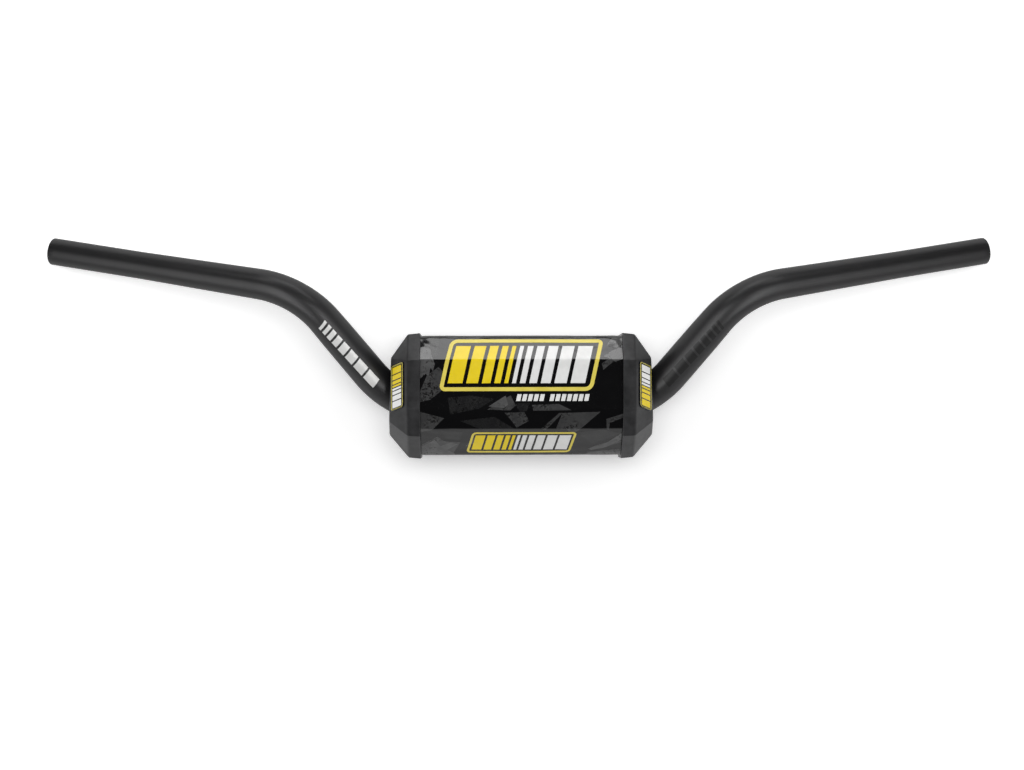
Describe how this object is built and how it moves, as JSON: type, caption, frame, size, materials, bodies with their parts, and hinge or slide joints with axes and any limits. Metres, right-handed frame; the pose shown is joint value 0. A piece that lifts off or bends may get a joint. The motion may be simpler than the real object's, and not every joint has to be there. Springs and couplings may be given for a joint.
{
  "type": "motocross handlebar",
  "caption": "Wide swept handlebar tube that tapers from a thick clamped middle to slim grip ends, with a faceted foam pad over its middle.",
  "frame": {"origin": "on the tube's axis at the middle of the stretch that the bar clamps hold", "axes": "+X along the clamped stretch to the bar's right end seen from the front, +Z the way the arms rise, -Y forward, so that the grips sweep back towards +Y and the pad's printed front faces -Y and up"},
  "size_m": [0.7792, 0.1136, 0.1718],
  "materials": {
    "satin_black_bar": "satin",
    "black_foam": "matte",
    "gloss_vinyl": "gloss",
    "grey_rubber": "satin",
    "yellow_label": "gloss",
    "black_webbing": "matte",
    "black_loop": "matte"
  },
  "bodies": {
    "root": {"handlebar_tube": "satin_black_bar", "pad_foam": "black_foam", "pad_cover": "gloss_vinyl", "end_cap_left": "grey_rubber", "end_cap_right": "grey_rubber", "cap_label_left": "yellow_label", "cap_label_right": "yellow_label", "closure_strap_left": "black_webbing", "closure_strap_right": "black_webbing", "loop_patch_left": "black_loop", "loop_patch_right": "black_loop"}
  },
  "joints": []
}
